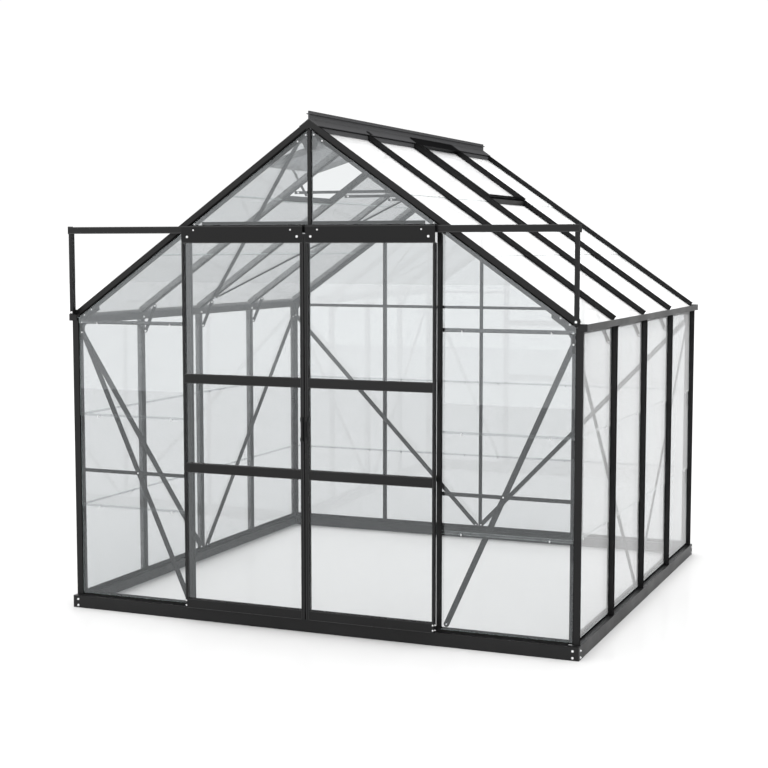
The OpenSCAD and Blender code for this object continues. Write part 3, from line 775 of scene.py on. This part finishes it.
def make_door_trim(body, side):
    """Lips on a door's head plate, beads down its stiles, brush strips behind them, and its handle."""
    face = Plane((0, HEAD_LOW.y, 0), (side, 0, 0), (0, 0, 1), (0, -1, 0))
    plate = (HEAD_LOW.x, HEAD_HIGH.x)
    lips = [(face, plate, (HEAD_HIGH.z - 0.003, HEAD_HIGH.z), (0, 0.0012)),
            (face, plate, (HEAD_LOW.z, HEAD_LOW.z + 0.0035), (0, 0.0015))]
    for z in (STILE_LOW.z, *RAIL_ZS):
        lips.append((face, BETWEEN_STILES, (z + RAIL_H - 0.003, z + RAIL_H), (0, 0.0015)))
        lips.append((face, BETWEEN_STILES, (z, z + 0.003), (0, 0.0015)))
    blocks_piece(f"{body}_lips", lips, LIP_PAINT, body=body)
    stile = (STILE_LOW.z, HEAD_LOW.z)
    beads = [(face, (x, x + 0.002), stile, (0, 0.001)) for x in BEAD_XS]
    blocks_piece(f"{body}_stile_beads", beads, LIP_PAINT, body=body)
    rear = Plane((0, STILE_HIGH.y, 0), (side, 0, 0), (0, 0, 1), (0, 1, 0))
    brushes = [(rear, (x, x + 0.006), stile, (-0.0002, 0.003)) for x in BRUSH_XS]
    blocks_piece(f"{body}_brushes", brushes, BRUSH_PILE, body=body)
    low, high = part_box("door_right_handle")
    foot, proud = 0.018, HEAD_LOW.y - low.y
    recess = (low.z + foot - 0.0005, high.z - foot + 0.0005)
    grip = [(face, (low.x, high.x), (low.z, low.z + foot), (0.0, proud)),
            (face, (low.x, high.x), (high.z - foot, high.z), (0.0, proud)),
            (face, (low.x, low.x + 0.005), recess, (0.0, proud)),
            (face, (low.x + 0.0045, high.x - 0.002), recess, (0.0, 0.003))]
    handle = blocks_piece(f"{body}_grip", grip, CAP_PLASTIC, body=body, bevel=0.0008)
    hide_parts(f"{body}_handle")


def make_gutter_ends():
    """A moulded cap over each end of the gutters."""
    caps = []
    for end, y in ((-1, FRONT), (1, BACK)):
        plane = Plane((0, y, 0), (1, 0, 0), (0, 0, 1), (0, end, 0))
        for side in (-1, 1):
            caps.append((plane, sorted((side * (GUTTER_LOW.x + 0.002), side * (GUTTER_HIGH.x + 0.0015))),
                         (GUTTER_LOW.z - 0.0015, GUTTER_HIGH.z + 0.0015), (-0.004, 0.003)))
    blocks_piece("gutter_end_caps", caps, CAP_PLASTIC, bevel=0.0012)


def make_rafter_seals():
    """A rubber strip along the lower edge of each gable rafter's outer face, over the glass."""
    depth = 0.030
    span = (slope_at(0.012, depth), slope_at(PANE_X - 0.01, depth))
    parts = []
    for end, y in ((-1, FRONT), (1, BACK)):
        for side in (-1, 1):
            slope = roof_plane(side)
            face = Plane((0, y, APEX_Z), slope.rise, slope.out, (0, end, 0))
            parts.append((face, span, (-0.0322, -0.0255), (-0.0002, 0.0012)))
    blocks_piece("rafter_seals", parts, SEAL_RUBBER)


def make_bar_end_caps():
    """A moulded cap on each roof bar's lower end, and on the upper end of each with no vent beside it."""
    half = CAP_W / 2 + 0.0005
    lower = (CAP_END + 0.0002, CAP_END + 0.0032)
    low_ends, tops = [], []
    for side in (-1, 1):
        plane = roof_plane(side)
        for i, y in enumerate(BAR_YS):
            low_ends.append((plane, (y - half, y + half), lower, (-0.0242, 0.0008)))
            if i not in (VENT_BAYS[side] - 1, VENT_BAYS[side]):
                tops.append((plane, (y - half, y + half), (0.032, 0.060), (0.0032, 0.0070)))
    blocks_piece("roof_bar_end_caps", low_ends, CAP_PLASTIC, bevel=0.0006)
    blocks_piece("roof_bar_top_caps", tops, CAP_PLASTIC, bevel=0.0006)


# ---------------------------------------------------------------- the studio

def make_floor():
    """A pale floor that ends some way in front of the doors, so that the glass mirrors it low down only."""
    half, depth_back, depth_front = 40.0, 60.0, -12.5
    corners = [(-half, depth_front, 0), (half, depth_front, 0), (half, depth_back, 0), (-half, depth_back, 0)]
    mesh = bpy.data.meshes.new("studio_floor")
    mesh.from_pydata(corners, [], [(0, 1, 2, 3)])
    floor = bpy.data.objects.new("studio_floor", mesh)
    bpy.context.scene.collection.objects.link(floor)
    material, tree, shader = new_material("studio_white")
    tree.nodes.remove(shader)
    matt = tree.nodes.new("ShaderNodeBsdfDiffuse")
    matt.inputs["Color"].default_value = (0.585, 0.585, 0.585, 1)
    gloss = tree.nodes.new("ShaderNodeBsdfGlossy")
    gloss.inputs["Roughness"].default_value = 0.12
    mix = tree.nodes.new("ShaderNodeMixShader")
    mix.inputs["Fac"].default_value = 0.035
    tree.links.new(matt.outputs["BSDF"], mix.inputs[1])
    tree.links.new(gloss.outputs["BSDF"], mix.inputs[2])
    tree.links.new(mix.outputs["Shader"], tree.nodes["Material Output"].inputs["Surface"])
    mesh.materials.append(material)


def make_light():
    """Even white light all round, that the backdrop itself shows at plain white."""
    world = bpy.data.worlds.new("studio")
    world.use_nodes = True
    tree = world.node_tree
    light = tree.nodes["Background"]
    light.inputs["Color"].default_value = (1, 1, 1, 1)
    light.inputs["Strength"].default_value = 2.0
    backdrop = tree.nodes.new("ShaderNodeBackground")
    backdrop.inputs["Color"].default_value = (1, 1, 1, 1)
    backdrop.inputs["Strength"].default_value = 1.03
    seen = tree.nodes.new("ShaderNodeLightPath")
    mix = tree.nodes.new("ShaderNodeMixShader")
    tree.links.new(seen.outputs["Is Camera Ray"], mix.inputs["Fac"])
    tree.links.new(light.outputs[0], mix.inputs[1])
    tree.links.new(backdrop.outputs[0], mix.inputs[2])
    tree.links.new(mix.outputs[0], tree.nodes["World Output"].inputs["Surface"])
    bpy.context.scene.world = world


def make_camera():
    data = bpy.data.cameras.new("camera")
    data.sensor_width = 36.0
    data.lens = 70.45
    data.clip_end = 200.0
    camera = bpy.data.objects.new("camera", data)
    bpy.context.scene.collection.objects.link(camera)
    camera.location = (2.947, -7.390 + MIDDLE, 1.771)
    camera.rotation_euler = (math.pi / 2 - 0.09054, 0, 0.3953)
    bpy.context.scene.camera = camera


# ---------------------------------------------------------------- putting it together

FINISHES = {"plinth": PLINTH_PAINT, "frame": FRAME_PAINT, "straps": STRAP_PAINT,
            "fixings": NYLON, "glass": PANE_GLASS}
for part in frame["record"]["subparts"]:
    dress(part["node"], FINISHES[part["material_slot"]])
for door in DOORS:
    dress(f"{door}_head", PLATE_PAINT)
# The ridge and its flashings get the black coat with painted sheen.
for name in ("ridge_beam", "ridge_flashings"):
    dress(name, RIDGE_PAINTED_SHEEN)
for name in ("gutter_left", "gutter_right"):
    dress(name, GUTTER_PAINT)

make_camera()
make_light()
make_floor()
make_panes()
make_fittings()
make_seals()
make_rail_trim()
make_gutter_ends()
make_rafter_seals()
make_bar_end_caps()
for door, door_side in DOORS.items():
    make_door_trim(door, door_side)

scene = bpy.context.scene
scene.view_settings.view_transform = "Standard"
scene.cycles.transparent_max_bounces = 40
